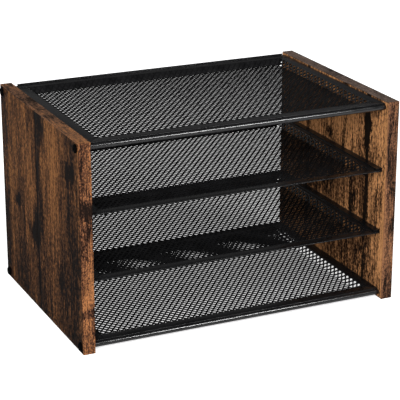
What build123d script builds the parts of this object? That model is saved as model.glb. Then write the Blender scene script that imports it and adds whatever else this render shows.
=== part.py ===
from build123d import *
import os
from math import atan2, hypot, sin, tan

# Desk paper tray. Two board sides carry four shallow trays of expanded metal. The top and bottom trays
# lie on cross rods that the boards are screwed to, and the two between them slide out on runners.
# X runs across the width, the front faces -Y, +Z is up, and the origin is on the desk under the middle.
# Lengths are in millimetres.

# Board sides
overall_width = 355.0           # over the outer faces of the two boards
panel_depth = 238.0
panel_thickness = 13.0

# Edge bands round each board
band_thickness = 0.8
band_chamfer_share = 0.5        # of the band's thickness, off its long outer corners

# Tray levels, from the bottom up
level_names = ("bottom", "lower", "upper", "top")
fixed_levels = ("bottom", "top")
sliding_levels = ("lower", "upper")
tier_pitch = 69.0               # from one level to the next
level_inset = 6.5               # from a board's bottom or top edge to the nearest level

# Tray rim: a flat hem, then a sloping wall down to the mesh, with a raised lip along the rear
rim_thickness = 1.2
hem_width = 11.2
wall_run = 6.0                  # how far the wall leans inwards
tray_drop = 5.6                 # from the top of the hem to the top of the mesh
lip_height = 2.0
lip_end_gap = 1.0               # between the lip's ends and the runners
fixed_tray_inset = 6.6          # fixed tray, behind the boards' front edges and ahead of their rear ones
fixed_tray_side_gap = 0.5       # between a fixed tray and a board
sliding_tray_inset = 4.6        # closed sliding tray, behind the boards' front edges

# Mesh floor: diamond gaps in a flat sheet, with a plain margin
mesh_thickness = 0.8
mesh_margin = 3.6
mesh_strand = 4.0
mesh_columns = 11
mesh_rows = 6

# Cross rods with tapped ends, tucked half under the rim
rod_diameter = 6.0
rod_set_back = 0.6              # from the fixed tray's outer edge to the rod's axis
rod_weld_gap = 0.05             # between the rod and the hem that lies on it
rod_tap_spare = 2.0             # of the tapped hole beyond the screw's end

# Screws that hold the boards to the rods
rod_screw_diameter = 4.0
rod_screw_grip = 12.0           # length inside the rod
rod_screw_head_diameter = 9.4
rod_screw_head_height = 2.2
rod_screw_crown_share = 0.5     # of the head's diameter, flat on top
rod_screw_socket_width = 2.5
rod_screw_socket_depth = 1.3
shank_clearance = 0.15          # round the shank in the board
thread_clearance = 0.05         # round the shank in the rod

# Runners: channels on the boards' inner faces that hold the hems of the sliding trays
runner_wall = 1.2
runner_grip = 5.6               # how far the channel reaches over the hem
runner_front_inset = 8.0        # behind the boards' front edges
slide_clearance = 0.3
tang_length = 12.0              # along the runner, of each tang pressed into the board
tang_cover = 4.0                # of the board, left behind a tang's slot
tang_spare = 1.0                # of the slot, beyond the tang
tang_clearance = 0.05           # round the tang in its slot
tang_place_shares = (0.15, 0.85)  # of the runner's length, from its front end

cut_overrun = 1.0

# Sizes that follow
panel_height = 2 * level_inset + (len(level_names) - 1) * tier_pitch
band_edge_chamfer = band_chamfer_share * band_thickness
inner_width = overall_width - 2 * panel_thickness
inner_face_x = inner_width / 2
panel_middle_x = inner_face_x + panel_thickness / 2
level_height = {name: level_inset + place * tier_pitch for place, name in enumerate(level_names)}

wall_angle = atan2(tray_drop, wall_run)
wall_foot_width = rim_thickness / sin(wall_angle)
mesh_inset = hem_width + wall_run - wall_foot_width

tray_depth = panel_depth - 2 * fixed_tray_inset
fixed_tray_width = inner_width - 2 * fixed_tray_side_gap
sliding_tray_width = inner_width - 2 * (runner_wall + slide_clearance)
sliding_tray_y = sliding_tray_inset - fixed_tray_inset

rod_y = tray_depth / 2 - rod_set_back
rod_places = [(side * rod_y, level_height[name]) for side in (-1, 1) for name in fixed_levels]

mouth_height = rim_thickness + 2 * slide_clearance
runner_height = mouth_height + 2 * runner_wall
runner_reach = runner_wall + slide_clearance + runner_grip
runner_front_y = runner_front_inset - panel_depth / 2
runner_rear_y = sliding_tray_y + tray_depth / 2 + slide_clearance + runner_wall
runner_length = runner_rear_y - runner_front_y
slot_depth = panel_thickness - tang_cover
tang_depth = slot_depth - tang_spare
tang_ys = [runner_front_y + share * runner_length for share in tang_place_shares]
tang_places = [(y, level_height[name]) for y in tang_ys for name in sliding_levels]


def along_x(shape, direction=1):
    """Turns a shape that stands along +Z so that it lies along +X, or along -X."""
    return Rot(0, direction * 90, 0) * shape


def side_panel(side):
    """Board of one side, drilled for the rod screws and slotted on its inner face for the runners."""
    board = Box(panel_thickness, panel_depth - 2 * band_thickness, panel_height - 2 * band_thickness)
    board = Pos(side * panel_middle_x, 0, panel_height / 2) * board
    hole_radius = rod_screw_diameter / 2 + shank_clearance
    hole = along_x(Cylinder(hole_radius, panel_thickness + 2 * cut_overrun))
    slot = Box(
        2 * slot_depth,
        tang_length + 2 * tang_clearance,
        runner_wall + 2 * tang_clearance,
    )
    cuts = [Pos(side * panel_middle_x, y, z) * hole for y, z in rod_places]
    cuts += [Pos(side * inner_face_x, y, z) * slot for y, z in tang_places]
    return board - cuts


def upright_band(side, end):
    """Band on a board's front (end -1) or rear (end 1) edge, as high as the board."""
    strip = Box(panel_thickness, band_thickness, panel_height)
    corners = strip.edges().filter_by(Axis.Z).sort_by(Axis.Y)
    outer_pair = corners[:2] if end < 0 else corners[-2:]
    strip = chamfer(outer_pair, band_edge_chamfer)
    band_y = (panel_depth - band_thickness) / 2
    return Pos(side * panel_middle_x, end * band_y, panel_height / 2) * strip


def level_band(side, end):
    """Band on a board's bottom (end -1) or top (end 1) edge, between the upright bands."""
    strip = Box(panel_thickness, panel_depth - 2 * band_thickness, band_thickness)
    corners = strip.edges().filter_by(Axis.Y).sort_by(Axis.Z)
    outer_pair = corners[:2] if end < 0 else corners[-2:]
    strip = chamfer(outer_pair, band_edge_chamfer)
    band_z = panel_height / 2 + end * (panel_height - band_thickness) / 2
    return Pos(side * panel_middle_x, 0, band_z) * strip


def cross_rod(y, z):
    """Round rod between the boards, with a tapped hole in each end."""
    rod = along_x(Cylinder(rod_diameter / 2, inner_width))
    tap_radius = rod_screw_diameter / 2 + thread_clearance
    tap = along_x(Cylinder(tap_radius, 2 * (rod_screw_grip + rod_tap_spare)))
    rod -= [Pos(side * inner_face_x, 0, 0) * tap for side in (-1, 1)]
    return Pos(0, y, z) * rod


def rod_screw():
    """Button-head screw with a hexagon socket. Its head stands on the XY plane, its shank hangs below."""
    head_align = (Align.CENTER, Align.CENTER, Align.MIN)
    head_radius = rod_screw_head_diameter / 2
    crown_radius = rod_screw_crown_share * head_radius
    head = Cone(head_radius, crown_radius, rod_screw_head_height, align=head_align)
    socket = RegularPolygon(rod_screw_socket_width / 2, side_count=6, major_radius=False)
    head -= Pos(0, 0, rod_screw_head_height) * extrude(socket, -rod_screw_socket_depth)
    shank_align = (Align.CENTER, Align.CENTER, Align.MAX)
    return head + Cylinder(rod_screw_diameter / 2, panel_thickness + rod_screw_grip, align=shank_align)


def rim_strip(length, lip=False):
    """Mitred strip of a tray's rim along X: outer edge on y = 0, inwards +Y, hem's top on z = 0."""
    hem_bend = rim_thickness * tan(wall_angle / 2)
    outline = Polyline(
        (0, 0),
        (hem_width, 0),
        (hem_width + wall_run, -tray_drop),
        (mesh_inset, -tray_drop),
        (hem_width - hem_bend, -rim_thickness),
        (0, -rim_thickness),
        close=True,
    )
    strip = extrude(Plane.YZ * make_face(outline), length / 2, both=True)
    for end in (-1, 1):
        mitre = Plane((end * length / 2, 0, 0), z_dir=(end, 1, 0))
        strip = split(strip, mitre, keep=Keep.BOTTOM)
    if lip:
        lip_length = length - 2 * (runner_grip + lip_end_gap)
        lip_align = (Align.CENTER, Align.MIN, Align.MIN)
        strip += Box(lip_length, rim_thickness, lip_height, align=lip_align)
    return strip


def tray_rim(width, depth):
    """The four strips of a rim, by the side that each one lies on."""
    return {
        "front": Pos(0, -depth / 2, 0) * rim_strip(width),
        "rear": Pos(0, depth / 2, 0) * Rot(0, 0, 180) * rim_strip(width, lip=True),
        "left": Pos(-width / 2, 0, 0) * Rot(0, 0, -90) * rim_strip(depth),
        "right": Pos(width / 2, 0, 0) * Rot(0, 0, 90) * rim_strip(depth),
    }


def mesh_gaps(width, depth):
    """Outlines of the diamond gaps of a net this wide and deep, cut in half along its edges."""
    half_x = width / mesh_columns / 2
    half_y = depth / mesh_rows / 2
    strand_reach = half_x * half_y / hypot(half_x, half_y)
    gap_share = 1 - mesh_strand / 2 / strand_reach
    outlines = []
    for column in range(2 * mesh_columns + 1):
        for row in range(column % 2, 2 * mesh_rows + 1, 2):
            corners = []
            for step_x, step_y in ((1, 0), (0, 1), (-1, 0), (0, -1)):
                inside_x = 0 <= column + step_x <= 2 * mesh_columns
                inside_y = 0 <= row + step_y <= 2 * mesh_rows
                if inside_x and inside_y:
                    x = (column + step_x * gap_share) * half_x - width / 2
                    y = (row + step_y * gap_share) * half_y - depth / 2
                    corners.append((x, y))
            if len(corners) > 2:
                outlines.append(Wire.make_polygon(corners))
    return outlines


def mesh_floor(width, depth):
    """Expanded sheet under a rim's walls, its top on z = 0."""
    sheet_width = width - 2 * mesh_inset
    sheet_depth = depth - 2 * mesh_inset
    gaps = mesh_gaps(sheet_width - 2 * mesh_margin, sheet_depth - 2 * mesh_margin)
    net = Face(Wire.make_rect(sheet_width, sheet_depth), gaps)
    return extrude(net, mesh_thickness, dir=(0, 0, -1))


def runner():
    """Channel with its back on x = 0 and its mouth towards +X, closed at the rear, with tangs behind."""
    beside = (Align.MIN, Align.CENTER)
    channel = Rectangle(runner_reach, runner_height, align=beside)
    channel -= Pos(runner_wall, 0) * Rectangle(runner_reach, mouth_height, align=beside)
    body = Pos(0, runner_rear_y, 0) * extrude(Plane.XZ * channel, runner_length)
    stop_align = (Align.MIN, Align.MAX, Align.CENTER)
    body += Pos(0, runner_rear_y, 0) * Box(runner_reach, runner_wall, runner_height, align=stop_align)
    tang_align = (Align.MAX, Align.CENTER, Align.CENTER)
    tang = Box(tang_depth + runner_wall, tang_length, runner_wall, align=tang_align)
    for y in tang_ys:
        body += Pos(runner_wall, y, 0) * tang
    return body


def build_parts():
    """All pieces in place, by node name."""
    parts = {}
    rod_screws = []
    outer_x = overall_width / 2
    for side_name, side in (("left", -1), ("right", 1)):
        parts[f"{side_name}_side_panel"] = side_panel(side)
        parts[f"{side_name}_front_edge_band"] = upright_band(side, -1)
        parts[f"{side_name}_rear_edge_band"] = upright_band(side, 1)
        parts[f"{side_name}_bottom_edge_band"] = level_band(side, -1)
        parts[f"{side_name}_top_edge_band"] = level_band(side, 1)
        for y, z in rod_places:
            rod_screws.append(Pos(side * outer_x, y, z) * along_x(rod_screw(), side))
        for name in sliding_levels:
            channel = runner() if side < 0 else mirror(runner(), Plane.YZ)
            parts[f"{name}_{side_name}_runner"] = Pos(side * inner_face_x, 0, level_height[name]) * channel
    parts["panel_screws"] = Compound(rod_screws)
    for name in fixed_levels:
        parts[f"{name}_front_rod"] = cross_rod(-rod_y, level_height[name])
        parts[f"{name}_rear_rod"] = cross_rod(rod_y, level_height[name])
    for name in level_names:
        if name in fixed_levels:
            width = fixed_tray_width
            hem_top = level_height[name] + rod_diameter / 2 + rod_weld_gap + rim_thickness
            place = Pos(0, 0, hem_top)
        else:
            width = sliding_tray_width
            place = Pos(0, sliding_tray_y, level_height[name] + rim_thickness / 2)
        for edge, strip in tray_rim(width, tray_depth).items():
            parts[f"{name}_tray_{edge}_rim"] = place * strip
        parts[f"{name}_tray_mesh"] = place * Pos(0, 0, -tray_drop) * mesh_floor(width, tray_depth)
    return parts


os.makedirs("parts", exist_ok=True)
for node, shape in build_parts().items():
    export_step(shape, f"parts/{node}.step")
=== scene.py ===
from math import atan2, hypot, pi, radians

import bmesh
import bpy
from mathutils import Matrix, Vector


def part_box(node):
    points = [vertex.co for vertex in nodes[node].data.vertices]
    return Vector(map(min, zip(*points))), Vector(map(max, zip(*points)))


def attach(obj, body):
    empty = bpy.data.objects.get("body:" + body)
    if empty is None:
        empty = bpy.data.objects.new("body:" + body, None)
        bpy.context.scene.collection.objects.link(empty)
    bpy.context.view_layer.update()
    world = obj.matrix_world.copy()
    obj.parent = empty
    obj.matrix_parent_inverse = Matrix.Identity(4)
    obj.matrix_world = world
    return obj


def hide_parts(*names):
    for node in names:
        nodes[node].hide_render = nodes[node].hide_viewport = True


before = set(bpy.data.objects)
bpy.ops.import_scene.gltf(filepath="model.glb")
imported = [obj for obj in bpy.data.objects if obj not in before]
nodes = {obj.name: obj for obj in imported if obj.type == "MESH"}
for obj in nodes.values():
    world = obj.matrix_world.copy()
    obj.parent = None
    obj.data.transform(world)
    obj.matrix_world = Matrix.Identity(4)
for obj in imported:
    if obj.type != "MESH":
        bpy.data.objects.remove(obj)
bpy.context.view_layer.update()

# Desk paper tray: the boards, bands and runners keep the frame's own shapes and get their finish here.
# The trays, rods and screws are modelled again with the fine net, flat hems and rounded edges of the
# real ones. Lengths are in metres.

level_body = {"bottom": "stand", "lower": "lower_tray", "upper": "upper_tray", "top": "stand"}

# Tray hem and pan
hem_width = 0.0112
hem_thickness = 0.0012
hem_rounding = 0.0005
wall_run = 0.0060
wall_thickness = 0.0008
tray_drop = 0.0056
lip_height = 0.0020
fixed_lip_inset = 0.0036
sliding_lip_inset = 0.0066

# Expanded metal. The gap's own tips lie between two shares of the diamond's depth from its middle.
diamond_width = 0.0066
diamond_depth = 0.0083
strand_width = 0.0015
strand_thickness = 0.0007
strand_tilt = 0.00025
strand_weld = 0.0002
gap_tip_from = 0.1
gap_tip_to = 0.49
wall_drop = tray_drop + strand_thickness / 2

# Rods and screws
rod_radius = 0.0030
rod_end_rounding = 0.0005
head_radius = 0.0047
head_height = 0.0022
dome_share = 0.86
socket_width = 0.0025
socket_depth = 0.0013
socket_sides = 6
shank_radius = 0.0020
shank_length = 0.0250

# Modelling. A face looks along an axis when its normal has at least the facing share of that axis.
round_sides = 32
rounding_steps = 3
dome_steps = 5
sharp_from = radians(25)
smooth_below = radians(40)
head_smooth_below = radians(35)
facing = 0.9
mesh_lists = {"VERT": "verts", "EDGE": "edges", "FACE": "faces"}

# Wood print: the weight of each pattern in the tone, and where each one starts and ends
grain_sway = (0.014, 0.014, 0.0)
streak_weight = 1.2
cloud_weight = 1.3
fibre_weight = 1.6
grit_weight = 2.0
knot_depth = 0.6
knot_edge = (0.04, 0.16)
burn_depth = 0.6
burn_edge = (0.56, 0.68)
seam_depth = 0.7
seam_edge = (0.0006, 0.0048)
seam_raggedness = 0.008
seam_groove = 1.5
spot_edge = (0.3, 1.0)
spot_raggedness = 2.2
fleck_edge = (0.54, 0.76)
speckle_edge = (0.7, 1.3)
speckle_shade = 0.55
body_tones = (-0.05, 0.55)
glow_tones = (0.4, 1.3)

# Wood print: its surface and its size. A band's plank is wider than the band, so no seam crosses it.
print_roughness = (0.42, 0.6)
print_roughness_edge = (0.2, 0.8)
print_gloss = 0.012
print_bump = 0.25
print_relief = 0.0004
board_fineness = 1.0
band_fineness = 1.8
board_plank = 0.130
band_plank = 1.0

# Powder coat
coat_cloud_edge = (0.3, 0.7)
coat_peel_share = 0.3
coat_roughness_edge = (0.4, 0.9)
coat_roughness_spread = 0.1
coat_bump = 0.1

# Floor, light and camera
white = (1, 1, 1, 1)
floor_size = 12
floor_gap = 0.0002
floor_tones = ((0.58, 0.58, 0.58, 1), (0.62, 0.62, 0.62, 1))
floor_roughness = 0.9
floor_gloss = 0.1
floor_glows = ((0.72, 0.72, 0.72, 1), (0.85, 0.85, 0.85, 1))
floor_glow_edge = (0.2, 0.7)
room_strength = 0.14
light_aim = Vector((0, 0, 0.1))
camera_place = (-0.674, -1.474, 0.671)
camera_turn = (radians(70.58), 0, radians(-24.72))
focal_length = 143.1
sensor_width = 36


# Hand tools

def clear_selection():
    """Leaves edit mode and selects nothing."""
    if bpy.context.mode != "OBJECT":
        bpy.ops.object.mode_set(mode="OBJECT")
    bpy.ops.object.select_all(action="DESELECT")


def take(piece):
    """Selects one piece alone and makes it the active one."""
    clear_selection()
    piece.select_set(True)
    bpy.context.view_layer.objects.active = piece


def open_mesh(piece):
    """Enters edit mode on one piece, with all of it selected."""
    take(piece)
    bpy.ops.object.mode_set(mode="EDIT")
    bpy.ops.mesh.select_all(action="SELECT")


def close_mesh():
    """Goes back to object mode."""
    bpy.ops.object.mode_set(mode="OBJECT")


def settle():
    """Puts the active piece's place, turn and size into its mesh."""
    bpy.ops.object.transform_apply(location=True, rotation=True, scale=True)


def rename(piece, name):
    piece.name = name
    piece.data.name = name
    return piece


def copy_of(piece, name):
    """A copy with its own mesh, selected and active."""
    take(piece)
    bpy.ops.object.duplicate(linked=False)
    return rename(bpy.context.object, name)


def join(pieces, name):
    """Makes one piece of several."""
    take(pieces[0])
    for piece in pieces:
        piece.select_set(True)
    bpy.ops.object.join()
    return rename(pieces[0], name)


def pick(piece, kind, test):
    """In edit mode, selects only the vertices, edges or faces that pass the test."""
    bpy.ops.mesh.select_mode(type=kind)
    bpy.ops.mesh.select_all(action="DESELECT")
    shape = bmesh.from_edit_mesh(piece.data)
    for part in getattr(shape, mesh_lists[kind]):
        if test(part):
            part.select_set(True)
    shape.select_flush_mode()
    bmesh.update_edit_mesh(piece.data)


def shift(offset):
    """In edit mode, moves what is selected."""
    bpy.ops.transform.translate(value=offset)


def turn(angle, axis, centre):
    """In edit mode, turns what is selected by the right-hand rule.

    With no window the operator turns the other way, so it gets the opposite angle.
    """
    bpy.ops.transform.rotate(value=-angle, orient_axis=axis, center_override=centre)


def extrude(offset):
    """In edit mode, draws the selected faces out by an offset."""
    bpy.ops.mesh.extrude_region_move(TRANSFORM_OT_translate={"value": offset})


def trim(point, away, closed=False):
    """In edit mode, cuts off all that lies beyond a plane."""
    bpy.ops.mesh.select_all(action="SELECT")
    bpy.ops.mesh.bisect(plane_co=point, plane_no=away, use_fill=closed, clear_outer=True)


def score(point, across):
    """In edit mode, cuts a line round the mesh along a plane and keeps both sides."""
    bpy.ops.mesh.select_all(action="SELECT")
    bpy.ops.mesh.bisect(plane_co=point, plane_no=across)


def apply_modifier(piece, name, kind, **values):
    """Adds a modifier with these values and applies it."""
    take(piece)
    modifier = piece.modifiers.new(name, kind)
    for key, value in values.items():
        setattr(modifier, key, value)
    bpy.ops.object.modifier_apply(modifier=name)


def repeat(piece, name, count, step):
    """Repeats a piece in a row, with this step from one to the next."""
    apply_modifier(
        piece, name, "ARRAY", count=count, use_relative_offset=False, use_constant_offset=True,
        constant_offset_displace=step,
    )


def round_edges(piece, width):
    """Rounds all sharp edges a little and smooths the shading between them."""
    apply_modifier(
        piece, "rounding", "BEVEL", width=width, segments=rounding_steps, limit_method="ANGLE",
        angle_limit=sharp_from, use_clamp_overlap=True, harden_normals=False,
    )
    take(piece)
    bpy.ops.object.shade_smooth_by_angle(angle=smooth_below)


def start_box(name, low, high):
    """A cube primitive that fills the space between two corners."""
    clear_selection()
    low = Vector(low)
    high = Vector(high)
    bpy.ops.mesh.primitive_cube_add(size=1, location=(low + high) / 2, scale=high - low)
    settle()
    return rename(bpy.context.object, name)


# Expanded-metal pans

def flat_net(width, depth):
    """Flat net of tilted strands round diamond gaps, a little larger than this width and depth."""
    clear_selection()
    bpy.ops.mesh.primitive_circle_add(vertices=4, radius=0.5, fill_type="NGON")
    net = rename(bpy.context.object, "net")
    net.scale = (diamond_width, diamond_depth, 1)
    settle()
    open_mesh(net)
    bpy.ops.mesh.inset(thickness=strand_width / 2)
    bpy.ops.mesh.delete(type="FACE")
    # The gap's rear tip goes down and its front tip up, so that the strands lean towards the front
    near = gap_tip_from * diamond_depth
    far = gap_tip_to * diamond_depth
    pick(net, "VERT", lambda v: near < v.co.y < far)
    shift((0, 0, -strand_tilt))
    pick(net, "VERT", lambda v: near < -v.co.y < far)
    shift((0, 0, strand_tilt))
    bpy.ops.mesh.select_all(action="SELECT")
    half_step = (diamond_width / 2, diamond_depth / 2, 0)
    bpy.ops.mesh.duplicate_move(TRANSFORM_OT_translate={"value": half_step})
    close_mesh()
    columns = int(width / diamond_width) + 2
    rows = int(depth / diamond_depth) + 2
    repeat(net, "columns", columns, (diamond_width, 0, 0))
    repeat(net, "rows", rows, (0, diamond_depth, 0))
    open_mesh(net)
    middle_x = (columns - 0.5) * diamond_width / 2
    middle_y = (rows - 0.5) * diamond_depth / 2
    shift((-middle_x, -middle_y, 0))
    close_mesh()
    return net


def pan_net(name, width, depth):
    """Net pressed to a shallow pan for a tray of this outer size, its floor on z = 0."""
    slant = hypot(wall_run, wall_drop)
    lean = atan2(wall_drop, wall_run)
    floor_x = width / 2 - hem_width - wall_run
    floor_y = depth / 2 - hem_width - wall_run
    sheet = flat_net(2 * (floor_x + slant), 2 * (floor_y + slant))
    leaves = [sheet]
    walls = (
        (Vector((0, -1, 0)), floor_y, floor_x, "X", -lean),
        (Vector((0, 1, 0)), floor_y, floor_x, "X", lean),
        (Vector((-1, 0, 0)), floor_x, floor_y, "Y", lean),
        (Vector((1, 0, 0)), floor_x, floor_y, "Y", -lean),
    )
    for outward, reach, span, axis, angle in walls:
        wall = copy_of(sheet, f"{name}_wall")
        along = Vector((-outward.y, outward.x, 0))
        fold = outward * reach
        open_mesh(wall)
        trim(fold, -outward)
        trim(fold + outward * slant, outward)
        for end in (-1, 1):
            trim(fold + along * (end * span), along * (end * slant) - outward * wall_run)
        bpy.ops.mesh.select_all(action="SELECT")
        turn(angle, axis, fold)
        close_mesh()
        leaves.append(wall)
    open_mesh(sheet)
    for outward, reach, _, _, _ in walls:
        trim(outward * reach, outward)
    close_mesh()
    pan = join(leaves, name)
    open_mesh(pan)
    bpy.ops.mesh.remove_doubles(threshold=strand_weld)
    close_mesh()
    apply_modifier(pan, "gauge", "SOLIDIFY", thickness=strand_thickness, offset=0)
    return pan


# Rim strips

def mitre_ends(half):
    """In edit mode, cuts both ends of a strip at 45 degrees."""
    for end in (-1, 1):
        trim((end * half, 0, 0), (end, 1, 0), closed=True)


def start_hem(name, length):
    """Square-ended flat hem along X: outer edge on y = 0, inwards +Y, top on z = 0."""
    half = length / 2
    return start_box(name, (-half, 0, -hem_thickness), (half, hem_width, 0))


def hem_strip(name, length):
    """Mitred flat hem along X."""
    strip = start_hem(name, length)
    open_mesh(strip)
    mitre_ends(length / 2)
    close_mesh()
    round_edges(strip, hem_rounding)
    return strip


def rear_strip(name, length, lip_inset):
    """Mitred rear strip along X: a flat hem with a raised lip, and a plain wall behind the net."""
    half = length / 2
    lip_half = half - lip_inset
    strip = start_hem(name, length)
    open_mesh(strip)
    pick(strip, "FACE", lambda f: f.normal.y > facing)
    extrude((0, wall_run, -wall_drop))
    pick(strip, "VERT", lambda v: v.co.z < -wall_drop - wall_thickness)
    shift((0, 0, hem_thickness - wall_thickness))
    mitre_ends(half)
    score((0, hem_thickness, 0), (0, 1, 0))
    for end in (-1, 1):
        score((end * lip_half, 0, 0), (1, 0, 0))

    def under_lip(face):
        middle = face.calc_center_median()
        return face.normal.z > facing and middle.y < hem_thickness and abs(middle.x) < lip_half

    pick(strip, "FACE", under_lip)
    extrude((0, 0, lip_height))
    close_mesh()
    round_edges(strip, hem_rounding)
    return strip


def lay(piece, turn_angle, place):
    """Turns a finished piece about Z and puts it in its place, in its mesh."""
    open_mesh(piece)
    if turn_angle:
        turn(turn_angle, "Z", (0, 0, 0))
    shift(place)
    close_mesh()


# Rods and screws

def cross_rod(name, node):
    """Round rod along X with softly rounded ends, where the frame's rod is."""
    low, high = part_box(node)
    clear_selection()
    bpy.ops.mesh.primitive_cylinder_add(
        vertices=round_sides, radius=rod_radius, depth=high.x - low.x, location=(low + high) / 2,
        rotation=(0, pi / 2, 0),
    )
    rod = rename(bpy.context.object, name)
    settle()
    round_edges(rod, rod_end_rounding)
    return rod


def button_screw(name):
    """Domed screw along Z: its head stands on z = 0 and its shank hangs below."""
    clear_selection()
    bpy.ops.mesh.primitive_cylinder_add(
        vertices=round_sides, radius=head_radius, depth=head_height, location=(0, 0, head_height / 2),
    )
    screw = rename(bpy.context.object, name)
    settle()
    open_mesh(screw)
    pick(screw, "EDGE", lambda e: all(v.co.z > head_height / 2 for v in e.verts))
    bpy.ops.mesh.bevel(offset=head_height * dome_share, segments=dome_steps, profile=0.5, affect="EDGES")
    pick(screw, "FACE", lambda f: f.normal.z < -facing)
    bpy.ops.mesh.inset(thickness=head_radius - shank_radius)
    extrude((0, 0, -shank_length))
    close_mesh()
    clear_selection()
    bpy.ops.mesh.primitive_cylinder_add(
        vertices=socket_sides, radius=socket_width / 3 ** 0.5, depth=2 * socket_depth,
        location=(0, 0, head_height),
    )
    key = bpy.context.object
    settle()
    apply_modifier(screw, "socket", "BOOLEAN", operation="DIFFERENCE", object=key, solver="EXACT")
    bpy.data.objects.remove(key)
    take(screw)
    bpy.ops.object.shade_smooth_by_angle(angle=head_smooth_below)
    return screw


def all_screws(name):
    """The eight screws through the boards into the rods' ends, as one piece."""
    screws = []
    first = button_screw("screw")
    outer_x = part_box("right_side_panel")[1].x
    for node in ("bottom_front_rod", "bottom_rear_rod", "top_front_rod", "top_rear_rod"):
        low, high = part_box(node)
        axis = (low + high) / 2
        for side in (-1, 1):
            screw = copy_of(first, "screw")
            open_mesh(screw)
            turn(side * pi / 2, "Y", (0, 0, 0))
            shift((side * outer_x, axis.y, axis.z))
            close_mesh()
            screws.append(screw)
    bpy.data.objects.remove(first)
    return join(screws, name)


# Node helpers

def add(tree, kind, **settings):
    """A new node with these settings."""
    made = tree.nodes.new(kind)
    for key, value in settings.items():
        setattr(made, key, value)
    return made


def feed(tree, value, socket):
    """Links a socket to an input, or sets the input to a plain value."""
    if isinstance(value, bpy.types.NodeSocket):
        tree.links.new(value, socket)
    else:
        socket.default_value = value


def calc(tree, operation, first, second=0.0):
    made = add(tree, "ShaderNodeMath", operation=operation)
    feed(tree, first, made.inputs[0])
    feed(tree, second, made.inputs[1])
    return made.outputs[0]


def vector_calc(tree, operation, *values):
    made = add(tree, "ShaderNodeVectorMath", operation=operation)
    for place, value in enumerate(values):
        feed(tree, value, made.inputs[place])
    return made


def swing(tree, value, weight):
    """A value between 0 and 1 counted from its middle, times a weight."""
    return calc(tree, "MULTIPLY", calc(tree, "SUBTRACT", value, 0.5), weight)


def ease(tree, value, low, high, bottom=0.0, top=1.0):
    """A soft step from bottom to top as the value goes from low to high."""
    made = add(tree, "ShaderNodeMapRange", interpolation_type="SMOOTHSTEP", clamp=True)
    for place, number in enumerate((value, low, high, bottom, top)):
        feed(tree, number, made.inputs[place])
    return made.outputs[0]


def tint(tree, amount, under, over, mode="MIX"):
    """One colour laid over another."""
    made = add(tree, "ShaderNodeMix", data_type="RGBA", blend_type=mode, clamp_factor=True)
    feed(tree, amount, made.inputs["Factor"])
    feed(tree, under, made.inputs[6])
    feed(tree, over, made.inputs[7])
    return made.outputs[2]


def stretch(tree, place, fineness):
    """Scales a place along its axes, so that a pattern gets long or fine."""
    made = add(tree, "ShaderNodeMapping", vector_type="POINT")
    feed(tree, place, made.inputs["Vector"])
    made.inputs["Scale"].default_value = fineness
    return made.outputs[0]


def mottle(tree, place, fineness, detail, roughness=0.5, distortion=0.0):
    """Noise of one fineness all round."""
    made = add(tree, "ShaderNodeTexNoise", noise_dimensions="3D")
    feed(tree, place, made.inputs["Vector"])
    made.inputs["Scale"].default_value = fineness
    made.inputs["Detail"].default_value = detail
    made.inputs["Roughness"].default_value = roughness
    made.inputs["Distortion"].default_value = distortion
    return made


def long_mottle(tree, place, fineness, detail, roughness, distortion=0.0):
    """Noise with a fineness of its own along each axis."""
    stretched = stretch(tree, place, fineness)
    return mottle(tree, stretched, 1, detail, roughness, distortion).outputs["Fac"]


def new_group(name, takes, gives):
    """An empty shader group with named inputs and outputs."""
    group = bpy.data.node_groups.new(name, "ShaderNodeTree")
    for label, kind, value in takes:
        socket = group.interface.new_socket(label, in_out="INPUT", socket_type=kind)
        if value is not None:
            socket.default_value = value
    for label, kind in gives:
        group.interface.new_socket(label, in_out="OUTPUT", socket_type=kind)
    return group, add(group, "NodeGroupInput"), add(group, "NodeGroupOutput")


# Effects that several finishes share

surface_outputs = (
    ("Color", "NodeSocketColor"),
    ("Roughness", "NodeSocketFloat"),
    ("Height", "NodeSocketFloat"),
)
mask_output = (("Mask", "NodeSocketFloat"),)


def soft_band_group():
    """Mask of a soft straight band: full at its middle and gone at its reach."""
    takes = (
        ("Across", "NodeSocketFloat", 0.0),
        ("Middle", "NodeSocketFloat", 0.0),
        ("Reach", "NodeSocketFloat", 0.02),
    )
    group, taken, given = new_group("soft band", takes, mask_output)
    off = calc(group, "SUBTRACT", taken.outputs["Across"], taken.outputs["Middle"])
    off = calc(group, "ABSOLUTE", off)
    mask = ease(group, off, 0.0, taken.outputs["Reach"], bottom=1, top=0)
    feed(group, mask, given.inputs["Mask"])
    return group


def soft_spot_group():
    """Mask of a ragged spot round a point: full at its middle and gone at its reach."""
    takes = (
        ("Place", "NodeSocketVector", None),
        ("Middle", "NodeSocketVector", None),
        ("Reach", "NodeSocketVector", (1, 1, 1)),
    )
    group, taken, given = new_group("soft spot", takes, mask_output)
    place = taken.outputs["Place"]
    off = vector_calc(group, "SUBTRACT", place, taken.outputs["Middle"])
    share = vector_calc(group, "DIVIDE", off.outputs["Vector"], taken.outputs["Reach"])
    far = vector_calc(group, "LENGTH", share.outputs["Vector"])
    ragged = long_mottle(group, place, fineness=(160, 160, 60), detail=4, roughness=0.65)
    far = calc(group, "ADD", far.outputs["Value"], swing(group, ragged, spot_raggedness))
    feed(group, ease(group, far, *spot_edge, bottom=1, top=0), given.inputs["Mask"])
    return group


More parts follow.
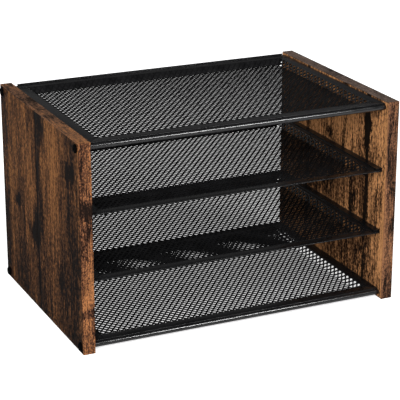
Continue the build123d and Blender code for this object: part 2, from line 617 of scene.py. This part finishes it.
def wood_print_group():
    """Rustic wood print: grain along Z, planks side by side along Y."""
    takes = (
        ("Place", "NodeSocketVector", None),
        ("Deep", "NodeSocketColor", (0.008, 0.006, 0.005, 1)),
        ("Body", "NodeSocketColor", (0.05, 0.024, 0.013, 1)),
        ("Glow", "NodeSocketColor", (0.2, 0.09, 0.038, 1)),
        ("Balance", "NodeSocketFloat", 0.5),
        ("Contrast", "NodeSocketFloat", 1.0),
        ("Warmth", "NodeSocketFloat", 0.0),
        ("Flecks", "NodeSocketFloat", 0.7),
        ("Plank Width", "NodeSocketFloat", 0.118),
    )
    group, taken, given = new_group("wood print", takes, surface_outputs)
    place = taken.outputs["Place"]
    plank_width = taken.outputs["Plank Width"]

    # Grain that sways a little from side to side
    drift = mottle(group, stretch(group, place, (7, 7, 4.5)), fineness=1, detail=2).outputs["Color"]
    drift = vector_calc(group, "SUBTRACT", drift, (0.5, 0.5, 0.5)).outputs["Vector"]
    grain = vector_calc(group, "MULTIPLY_ADD", drift, grain_sway, place).outputs["Vector"]

    fibre = long_mottle(group, grain, fineness=(520, 520, 26), detail=4, roughness=0.65)
    streak = long_mottle(group, grain, fineness=(110, 110, 6.5), detail=6, roughness=0.66, distortion=0.5)
    cloud = long_mottle(group, place, fineness=(17, 17, 7.5), detail=4, roughness=0.55)
    pores = long_mottle(group, grain, fineness=(240, 240, 34), detail=2, roughness=0.6)
    grit = long_mottle(group, grain, fineness=(420, 420, 260), detail=3, roughness=0.7)
    burn = long_mottle(group, grain, fineness=(30, 30, 11), detail=5, roughness=0.62, distortion=0.3)

    knots = add(group, "ShaderNodeTexVoronoi", voronoi_dimensions="3D", feature="F1")
    feed(group, stretch(group, grain, (9, 9, 4.2)), knots.inputs["Vector"])
    knots.inputs["Scale"].default_value = 1
    knot = ease(group, knots.outputs["Distance"], *knot_edge, bottom=1, top=0)

    # Dark ragged seams between the planks
    across = add(group, "ShaderNodeSeparateXYZ")
    feed(group, grain, across.inputs[0])
    plank_place = calc(group, "DIVIDE", across.outputs["Y"], plank_width)
    off_seam = calc(group, "SUBTRACT", plank_place, calc(group, "ROUND", plank_place))
    off_seam = calc(group, "MULTIPLY", calc(group, "ABSOLUTE", off_seam), plank_width)
    off_seam = calc(group, "ADD", off_seam, swing(group, pores, seam_raggedness))
    seam = ease(group, off_seam, *seam_edge, bottom=1, top=0)

    # Tone from deep to glow
    tone = swing(group, streak, streak_weight)
    for pattern, weight in ((cloud, cloud_weight), (fibre, fibre_weight), (grit, grit_weight)):
        tone = calc(group, "ADD", tone, swing(group, pattern, weight))
    tone = calc(group, "MULTIPLY", tone, taken.outputs["Contrast"])
    tone = calc(group, "ADD", tone, taken.outputs["Balance"])
    tone = calc(group, "ADD", tone, taken.outputs["Warmth"])
    tone = calc(group, "SUBTRACT", tone, calc(group, "MULTIPLY", knot, knot_depth))
    tone = calc(group, "SUBTRACT", tone, ease(group, burn, *burn_edge, top=burn_depth))
    tone = calc(group, "SUBTRACT", tone, calc(group, "MULTIPLY", seam, seam_depth))
    colour = tint(group, ease(group, tone, *body_tones), taken.outputs["Deep"], taken.outputs["Body"])
    colour = tint(group, ease(group, tone, *glow_tones), colour, taken.outputs["Glow"])
    fleck = calc(group, "MULTIPLY", ease(group, pores, *fleck_edge), taken.outputs["Flecks"])
    colour = tint(group, fleck, colour, taken.outputs["Deep"])
    speckle = ease(group, calc(group, "ADD", grit, fibre), *speckle_edge, bottom=speckle_shade)
    colour = tint(group, 1.0, colour, speckle, "MULTIPLY")
    feed(group, colour, given.inputs["Color"])

    feed(group, ease(group, fibre, *print_roughness_edge, *print_roughness), given.inputs["Roughness"])
    height = calc(group, "SUBTRACT", fibre, calc(group, "MULTIPLY", seam, seam_groove))
    feed(group, calc(group, "SUBTRACT", height, fleck), given.inputs["Height"])
    return group


def powder_coat_group():
    """Powder coat: slight clouds in its colour and roughness, and a fine orange peel."""
    takes = (
        ("Place", "NodeSocketVector", None),
        ("Dark", "NodeSocketColor", (0.003, 0.003, 0.0033, 1)),
        ("Pale", "NodeSocketColor", (0.005, 0.005, 0.0054, 1)),
        ("Least Roughness", "NodeSocketFloat", 0.24),
    )
    group, taken, given = new_group("powder coat", takes, surface_outputs)
    place = taken.outputs["Place"]
    least = taken.outputs["Least Roughness"]
    cloud = mottle(group, place, fineness=60, detail=3).outputs["Fac"]
    peel = mottle(group, place, fineness=1400, detail=2, roughness=0.6).outputs["Fac"]
    shade = tint(group, ease(group, cloud, *coat_cloud_edge), taken.outputs["Dark"], taken.outputs["Pale"])
    feed(group, shade, given.inputs["Color"])
    rough = calc(group, "ADD", cloud, calc(group, "MULTIPLY", peel, coat_peel_share))
    most = calc(group, "ADD", least, coat_roughness_spread)
    feed(group, ease(group, rough, *coat_roughness_edge, least, most), given.inputs["Roughness"])
    feed(group, peel, given.inputs["Height"])
    return group


soft_band = soft_band_group()
soft_spot = soft_spot_group()
wood_print = wood_print_group()
powder_coat = powder_coat_group()


# Finishes

def new_finish(name):
    """An empty material with its shader and object coordinates."""
    finish = bpy.data.materials.new(name)
    finish.use_nodes = True
    tree = finish.node_tree
    tree.nodes.clear()
    shader = add(tree, "ShaderNodeBsdfPrincipled")
    output = add(tree, "ShaderNodeOutputMaterial")
    tree.links.new(shader.outputs[0], output.inputs["Surface"])
    place = add(tree, "ShaderNodeTexCoord").outputs["Object"]
    return finish, tree, shader, place


def cover(tree, shader, effect, gloss, bump_strength, bump_distance):
    """Leads an effect's colour, roughness and height to the shader, with an even gloss."""
    tree.links.new(effect.outputs["Color"], shader.inputs["Base Color"])
    tree.links.new(effect.outputs["Roughness"], shader.inputs["Roughness"])
    shader.inputs["Specular IOR Level"].default_value = gloss
    bump = add(tree, "ShaderNodeBump")
    bump.inputs["Strength"].default_value = bump_strength
    bump.inputs["Distance"].default_value = bump_distance
    tree.links.new(effect.outputs["Height"], bump.inputs["Height"])
    tree.links.new(bump.outputs[0], shader.inputs["Normal"])


def wood_finish(
    name, start, fineness, deep, body, glow, balance, contrast, flecks,
    plank_width=band_plank, turned=(0, 0, 0), bands=(), spots=(),
):
    """Wood print on a board or band, warmer or darker by a strength in soft bands and in spots.

    A band is given by its axis, middle, reach and strength. A spot is given by its middle and its
    reach, each along Y and Z, and its strength.
    """
    finish, tree, shader, place = new_finish(name)
    print_place = add(tree, "ShaderNodeMapping", vector_type="POINT")
    feed(tree, place, print_place.inputs["Vector"])
    print_place.inputs["Rotation"].default_value = turned
    print_place.inputs["Location"].default_value = start
    print_place.inputs["Scale"].default_value = (fineness, fineness, fineness)
    grain = add(tree, "ShaderNodeGroup", node_tree=wood_print)
    tree.links.new(print_place.outputs[0], grain.inputs["Place"])
    for label, colour in (("Deep", deep), ("Body", body), ("Glow", glow)):
        grain.inputs[label].default_value = (*colour, 1)
    grain.inputs["Balance"].default_value = balance
    grain.inputs["Contrast"].default_value = contrast
    grain.inputs["Flecks"].default_value = flecks
    grain.inputs["Plank Width"].default_value = plank_width
    across = add(tree, "ShaderNodeSeparateXYZ")
    feed(tree, place, across.inputs[0])
    warmth = 0.0
    for axis, middle, reach, strength in bands:
        band = add(tree, "ShaderNodeGroup", node_tree=soft_band)
        tree.links.new(across.outputs[axis], band.inputs["Across"])
        band.inputs["Middle"].default_value = middle
        band.inputs["Reach"].default_value = reach
        warmth = calc(tree, "ADD", calc(tree, "MULTIPLY", band.outputs["Mask"], strength), warmth)
    for middle, reach, strength in spots:
        spot = add(tree, "ShaderNodeGroup", node_tree=soft_spot)
        tree.links.new(place, spot.inputs["Place"])
        spot.inputs["Middle"].default_value = (0, *middle)
        spot.inputs["Reach"].default_value = (1, *reach)
        warmth = calc(tree, "ADD", calc(tree, "MULTIPLY", spot.outputs["Mask"], strength), warmth)
    feed(tree, warmth, grain.inputs["Warmth"])
    cover(tree, shader, grain, print_gloss, print_bump, print_relief)
    return finish


def coat_finish(name, dark, pale, roughness, gloss, peel_height):
    """Powder coat on metal, with its own colours, gloss and depth of peel."""
    finish, tree, shader, place = new_finish(name)
    coat = add(tree, "ShaderNodeGroup", node_tree=powder_coat)
    tree.links.new(place, coat.inputs["Place"])
    coat.inputs["Dark"].default_value = (*dark, 1)
    coat.inputs["Pale"].default_value = (*pale, 1)
    coat.inputs["Least Roughness"].default_value = roughness
    cover(tree, shader, coat, gloss, coat_bump, peel_height)
    return finish


left_board = wood_finish(
    "left board print", start=(0.0, -0.007, 0.0), fineness=board_fineness,
    deep=(0.005, 0.0035, 0.003), body=(0.062, 0.027, 0.0125), glow=(0.220, 0.093, 0.032),
    balance=0.54, contrast=1.4, flecks=0.6, plank_width=board_plank,
    bands=(
        ("Y", 0.030, 0.026, 0.35),
        ("Y", -0.045, 0.034, 0.3),
        ("Y", -0.100, 0.024, -0.25),
        ("Y", 0.115, 0.030, -0.3),
        ("Z", 0.0, 0.16, -0.43),
    ),
    spots=(
        ((-0.088, 0.182), (0.022, 0.018), -0.8),
        ((0.072, 0.105), (0.013, 0.011), -0.7),
        ((0.018, 0.084), (0.024, 0.016), -0.7),
        ((-0.060, 0.060), (0.012, 0.030), -0.4),
        ((-0.104, 0.035), (0.030, 0.075), 0.34),
    ),
)
# The right board's print is lighter than the left board's. Part of that is its own tone and part is
# painted light, which makes up for the shade inside the bays.
right_board_with_painted_light = wood_finish(
    "right board print with painted light", start=(0.3, 0.078, 0.4), fineness=board_fineness,
    deep=(0.009, 0.006, 0.004), body=(0.138, 0.064, 0.029), glow=(0.510, 0.238, 0.095),
    balance=0.62, contrast=1.75, flecks=0.65, plank_width=board_plank,
    bands=(
        ("Y", -0.118, 0.008, 0.5),
        ("Y", -0.079, 0.010, -0.5),
        ("Y", -0.030, 0.006, -0.3),
        # Lighter just under the top tray: partly the print's own tone, partly painted light against the
        # tray's shadow.
        ("Z", 0.185, 0.042, 0.45),
        ("Z", 0.105, 0.034, -0.17),
        # Darker on the outer face only: painted shade that takes the painted light back off the outside,
        # which gets more light than the inner face.
        ("X", 0.1775, 0.008, -0.25),
    ),
    spots=(
        ((0.002, 0.155), (0.008, 0.009), -0.8),
        ((-0.050, 0.120), (0.010, 0.014), -0.5),
        ((-0.078, 0.185), (0.010, 0.036), -1.3),
        ((-0.052, 0.088), (0.009, 0.028), -0.6),
        ((-0.044, 0.030), (0.040, 0.050), -0.6),
    ),
)
left_upright = wood_finish(
    "left upright band print", start=(0.05, 0.02, 0.13), fineness=band_fineness,
    deep=(0.011, 0.0065, 0.005), body=(0.084, 0.0355, 0.0195), glow=(0.285, 0.116, 0.043),
    balance=0.56, contrast=1.6, flecks=0.75,
    bands=(
        ("Z", 0.195, 0.060, -0.22),
        ("Z", 0.146, 0.036, -0.25),
        ("Z", 0.074, 0.032, 0.36),
        ("Z", 0.024, 0.030, -0.25),
    ),
    spots=(
        ((-0.119, 0.152), (1, 0.013), -0.75),
        ((-0.119, 0.043), (1, 0.007), -0.7),
    ),
)
right_upright = wood_finish(
    "right upright band print", start=(0.31, 0.02, 0.45), fineness=band_fineness,
    deep=(0.010, 0.0065, 0.005), body=(0.076, 0.0355, 0.0205), glow=(0.200, 0.092, 0.044),
    balance=0.56, contrast=1.5, flecks=0.7,
    bands=(
        ("X", 0.1645, 0.003, 0.7),
        ("Z", 0.22, 0.05, -0.2),
    ),
)
left_level = wood_finish(
    "level band print", start=(0.1, 0.31, 0.07), fineness=band_fineness,
    deep=(0.016, 0.010, 0.007), body=(0.104, 0.055, 0.034), glow=(0.230, 0.100, 0.041),
    balance=0.6, contrast=1.3, flecks=0.5, turned=(pi / 2, 0, 0),
    bands=(
        ("Y", -0.119, 0.007, 0.7),
        ("Y", 0.007, 0.0022, -0.7),
        ("Y", -0.062, 0.0018, -0.6),
        ("Y", 0.071, 0.0015, -0.5),
        ("Y", 0.045, 0.030, -0.3),
    ),
)
right_level = wood_finish(
    "right level band print", start=(0.2, 0.17, 0.33), fineness=band_fineness,
    deep=(0.018, 0.014, 0.012), body=(0.078, 0.056, 0.046), glow=(0.145, 0.102, 0.080),
    balance=0.6, contrast=1.3, flecks=0.5, turned=(pi / 2, 0, 0),
)
black_net = coat_finish(
    "black net coat", dark=(0.002, 0.002, 0.0022), pale=(0.004, 0.004, 0.0043),
    roughness=0.34, gloss=0.035, peel_height=0.0002,
)
black_hem = coat_finish(
    "satin black coat", dark=(0.003, 0.003, 0.0033), pale=(0.005, 0.005, 0.0054),
    roughness=0.24, gloss=0.14, peel_height=0.0001,
)
black_rod = coat_finish(
    "smooth black coat", dark=(0.003, 0.003, 0.0033), pale=(0.005, 0.005, 0.0054),
    roughness=0.16, gloss=0.5, peel_height=0.00003,
)
black_screw = coat_finish(
    "black screw coat", dark=(0.001, 0.001, 0.0011), pale=(0.002, 0.002, 0.0021),
    roughness=0.5, gloss=0.006, peel_height=0.0001,
)


def dress(piece, finish):
    """Gives a piece one finish, in place of what it has."""
    piece.data.materials.clear()
    piece.data.materials.append(finish)


def stand_in(piece, body, finish, slot, *hidden):
    """Puts a new piece in place of the frame's nodes."""
    dress(piece, finish)
    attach(piece, body)
    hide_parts(*hidden)


# The frame's own boards, bands and runners

for side, board, upright, level_finish in (
    ("left", left_board, left_upright, left_level),
    ("right", right_board_with_painted_light, right_upright, right_level),
):
    dress(nodes[f"{side}_side_panel"], board)
    for edge in ("front", "rear"):
        dress(nodes[f"{side}_{edge}_edge_band"], upright)
    for edge in ("bottom", "top"):
        dress(nodes[f"{side}_{edge}_edge_band"], level_finish)
    for level in ("lower", "upper"):
        dress(nodes[f"{level}_{side}_runner"], black_hem)

# Trays: the net and strips of each size are modelled once and copied to every tray of that size

finished = {}
for level in ("bottom", "lower", "top", "upper"):
    front_low, front_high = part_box(f"{level}_tray_front_rim")
    rear_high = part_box(f"{level}_tray_rear_rim")[1]
    width = front_high.x - front_low.x
    depth = rear_high.y - front_low.y
    hem_top = front_high.z
    middle_y = (front_low.y + rear_high.y) / 2
    size = round(width, 5)
    body = level_body[level]
    if size not in finished:
        lip_inset = fixed_lip_inset if body == "stand" else sliding_lip_inset
        finished[size] = {
            "net": pan_net("first_net", width, depth),
            "front": hem_strip("first_front", width),
            "rear": rear_strip("first_rear", width, lip_inset),
            "side": hem_strip("first_side", depth),
        }
    first = finished[size]
    net = copy_of(first["net"], f"{level}_pan_net")
    lay(net, 0, (0, middle_y, hem_top - wall_drop))
    stand_in(net, body, black_net, "black_metal", f"{level}_tray_mesh")
    strips = (
        ("front", first["front"], 0, (0, front_low.y, hem_top)),
        ("rear", first["rear"], pi, (0, rear_high.y, hem_top)),
        ("left", first["side"], -pi / 2, (-width / 2, middle_y, hem_top)),
        ("right", first["side"], pi / 2, (width / 2, middle_y, hem_top)),
    )
    for edge, strip, angle, place in strips:
        hem = copy_of(strip, f"{level}_{edge}_hem")
        lay(hem, angle, place)
        stand_in(hem, body, black_hem, "black_metal", f"{level}_tray_{edge}_rim")
for first in finished.values():
    for piece in first.values():
        bpy.data.objects.remove(piece)

# Rods and screws

for level in ("bottom", "top"):
    for edge in ("front", "rear"):
        node = f"{level}_{edge}_rod"
        rod = cross_rod(f"{level}_{edge}_cross_rod", node)
        stand_in(rod, "stand", black_rod, "black_metal", node)
screws = all_screws("board_screws")
stand_in(screws, "stand", black_screw, "black_screw", "panel_screws")


# Floor, light and camera

def floor_finish():
    """Pale floor that looks white to the camera, and a little brighter further out."""
    finish, tree, shader, place = new_finish("pale floor")
    cloud = mottle(tree, place, fineness=3, detail=2).outputs["Fac"]
    tone = tint(tree, cloud, *floor_tones)
    tree.links.new(tone, shader.inputs["Base Color"])
    shader.inputs["Roughness"].default_value = floor_roughness
    shader.inputs["Specular IOR Level"].default_value = floor_gloss
    away = vector_calc(tree, "LENGTH", place).outputs["Value"]
    glow = tint(tree, ease(tree, away, *floor_glow_edge), *floor_glows)
    tree.links.new(glow, shader.inputs["Emission Color"])
    seen = add(tree, "ShaderNodeLightPath").outputs["Is Camera Ray"]
    tree.links.new(seen, shader.inputs["Emission Strength"])
    return finish


def studio_sky():
    """White backdrop for the camera, and a dim even room for all else."""
    sky = bpy.data.worlds.new("studio white")
    sky.use_nodes = True
    tree = sky.node_tree
    tree.nodes.clear()
    room = add(tree, "ShaderNodeBackground")
    room.inputs["Color"].default_value = white
    room.inputs["Strength"].default_value = room_strength
    backdrop = add(tree, "ShaderNodeBackground")
    backdrop.inputs["Color"].default_value = white
    seen = add(tree, "ShaderNodeLightPath").outputs["Is Camera Ray"]
    both = add(tree, "ShaderNodeMixShader")
    tree.links.new(seen, both.inputs[0])
    tree.links.new(room.outputs[0], both.inputs[1])
    tree.links.new(backdrop.outputs[0], both.inputs[2])
    tree.links.new(both.outputs[0], add(tree, "ShaderNodeOutputWorld").inputs["Surface"])
    return sky


def soft_light(name, place, width, height, power):
    """Soft light panel that faces the tray."""
    lamp = bpy.data.lights.new(name, "AREA")
    lamp.shape = "RECTANGLE"
    lamp.size = width
    lamp.size_y = height
    lamp.energy = power
    light = bpy.data.objects.new(name, lamp)
    scene.collection.objects.link(light)
    light.location = place
    light.rotation_euler = (light_aim - Vector(place)).to_track_quat("-Z", "Y").to_euler()


clear_selection()
bpy.ops.mesh.primitive_plane_add(size=floor_size, location=(0, 0, -floor_gap))
floor = rename(bpy.context.object, "floor")
dress(floor, floor_finish())

scene = bpy.context.scene
scene.view_settings.view_transform = "Standard"
scene.world = studio_sky()
soft_light("main light", place=(-1.86, -2.07, 1.22), width=1.2, height=1.2, power=110)
soft_light("strip light", place=(0.95, -2.05, 1.7), width=1.6, height=0.25, power=90)
soft_light("rear light", place=(-0.7, 2.3, 1.7), width=1.6, height=1.6, power=26)

lens = bpy.data.cameras.new("camera")
lens.sensor_width = sensor_width
lens.lens = focal_length
camera = bpy.data.objects.new("camera", lens)
scene.collection.objects.link(camera)
camera.location = camera_place
camera.rotation_euler = camera_turn
scene.camera = camera

clear_selection()
